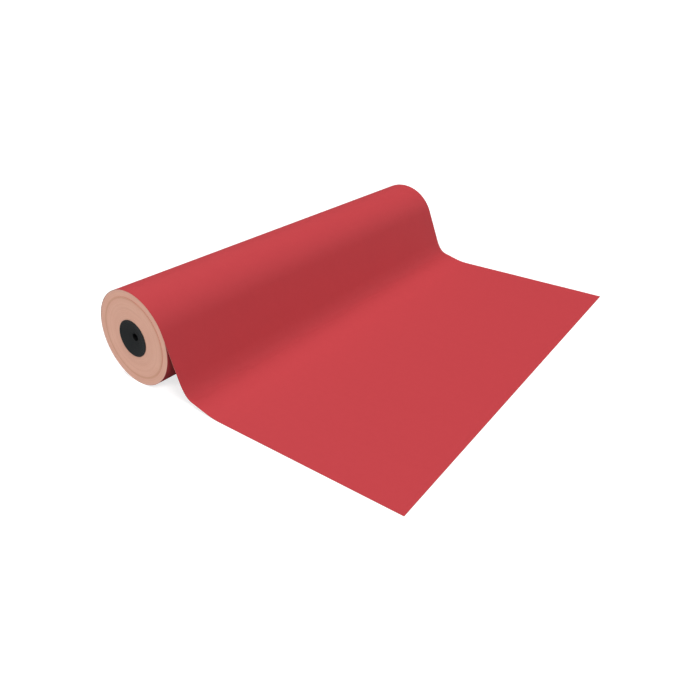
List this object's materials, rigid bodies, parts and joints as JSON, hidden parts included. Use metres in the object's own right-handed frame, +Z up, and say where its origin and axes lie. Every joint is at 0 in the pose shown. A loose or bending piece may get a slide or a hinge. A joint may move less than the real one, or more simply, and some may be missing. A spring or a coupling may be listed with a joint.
{
  "type": "backdrop paper roll",
  "caption": "Roll of red background paper on a board core with a moulded plug in each end, its free end drawn off over the top and laid flat on the floor.",
  "frame": {"origin": "bottom centre of the whole object: the middle of the roll's width, halfway between the roll's back and the sheet's cut edge, on the floor", "axes": "+X along the roll's axis towards its right end, -Y the way the free end lies, +Z up; the roll's axis is at Y = 246 mm, Z = 94 mm"},
  "size_m": [0.9184, 0.68, 0.1879],
  "materials": {
    "red_paper": "matt",
    "wound_edges": "matt",
    "core_board": "matt",
    "tape": "satin",
    "plug_plastic": "satin"
  },
  "bodies": {
    "free_end": {"last_turn": "red_paper", "paper_drop": "red_paper", "laid_sheet": "red_paper"},
    "roll": {"core_tube": "core_board", "start_tape": "tape", "inner_turns": "wound_edges", "outer_turns": "wound_edges"},
    "drawn_paper": {"drawn_sheet": "red_paper"},
    "left_plug": {"left_core_plug": "plug_plastic"},
    "right_plug": {"right_core_plug": "plug_plastic"}
  },
  "joints": [
    {"name": "roll_spin", "type": "hinge", "parent": "free_end", "child": "roll", "pos_m": [0, 0.246, 0.094], "axis": [1, 0, 0], "range_deg": [0, 213.3]},
    {"name": "sheet_draw", "type": "slide", "parent": "free_end", "child": "drawn_paper", "axis": [0, -1, 0], "range_m": [0, 0.35]},
    {"name": "left_plug_pull", "type": "slide", "parent": "roll", "child": "left_plug", "axis": [-1, 0, 0], "range_m": [0, 0.06]},
    {"name": "right_plug_pull", "type": "slide", "parent": "roll", "child": "right_plug", "axis": [1, 0, 0], "range_m": [0, 0.06]}
  ],
  "couplings": [
    {"joint": "sheet_draw", "follows": "roll_spin", "m_per_rad": 0.094}
  ]
}
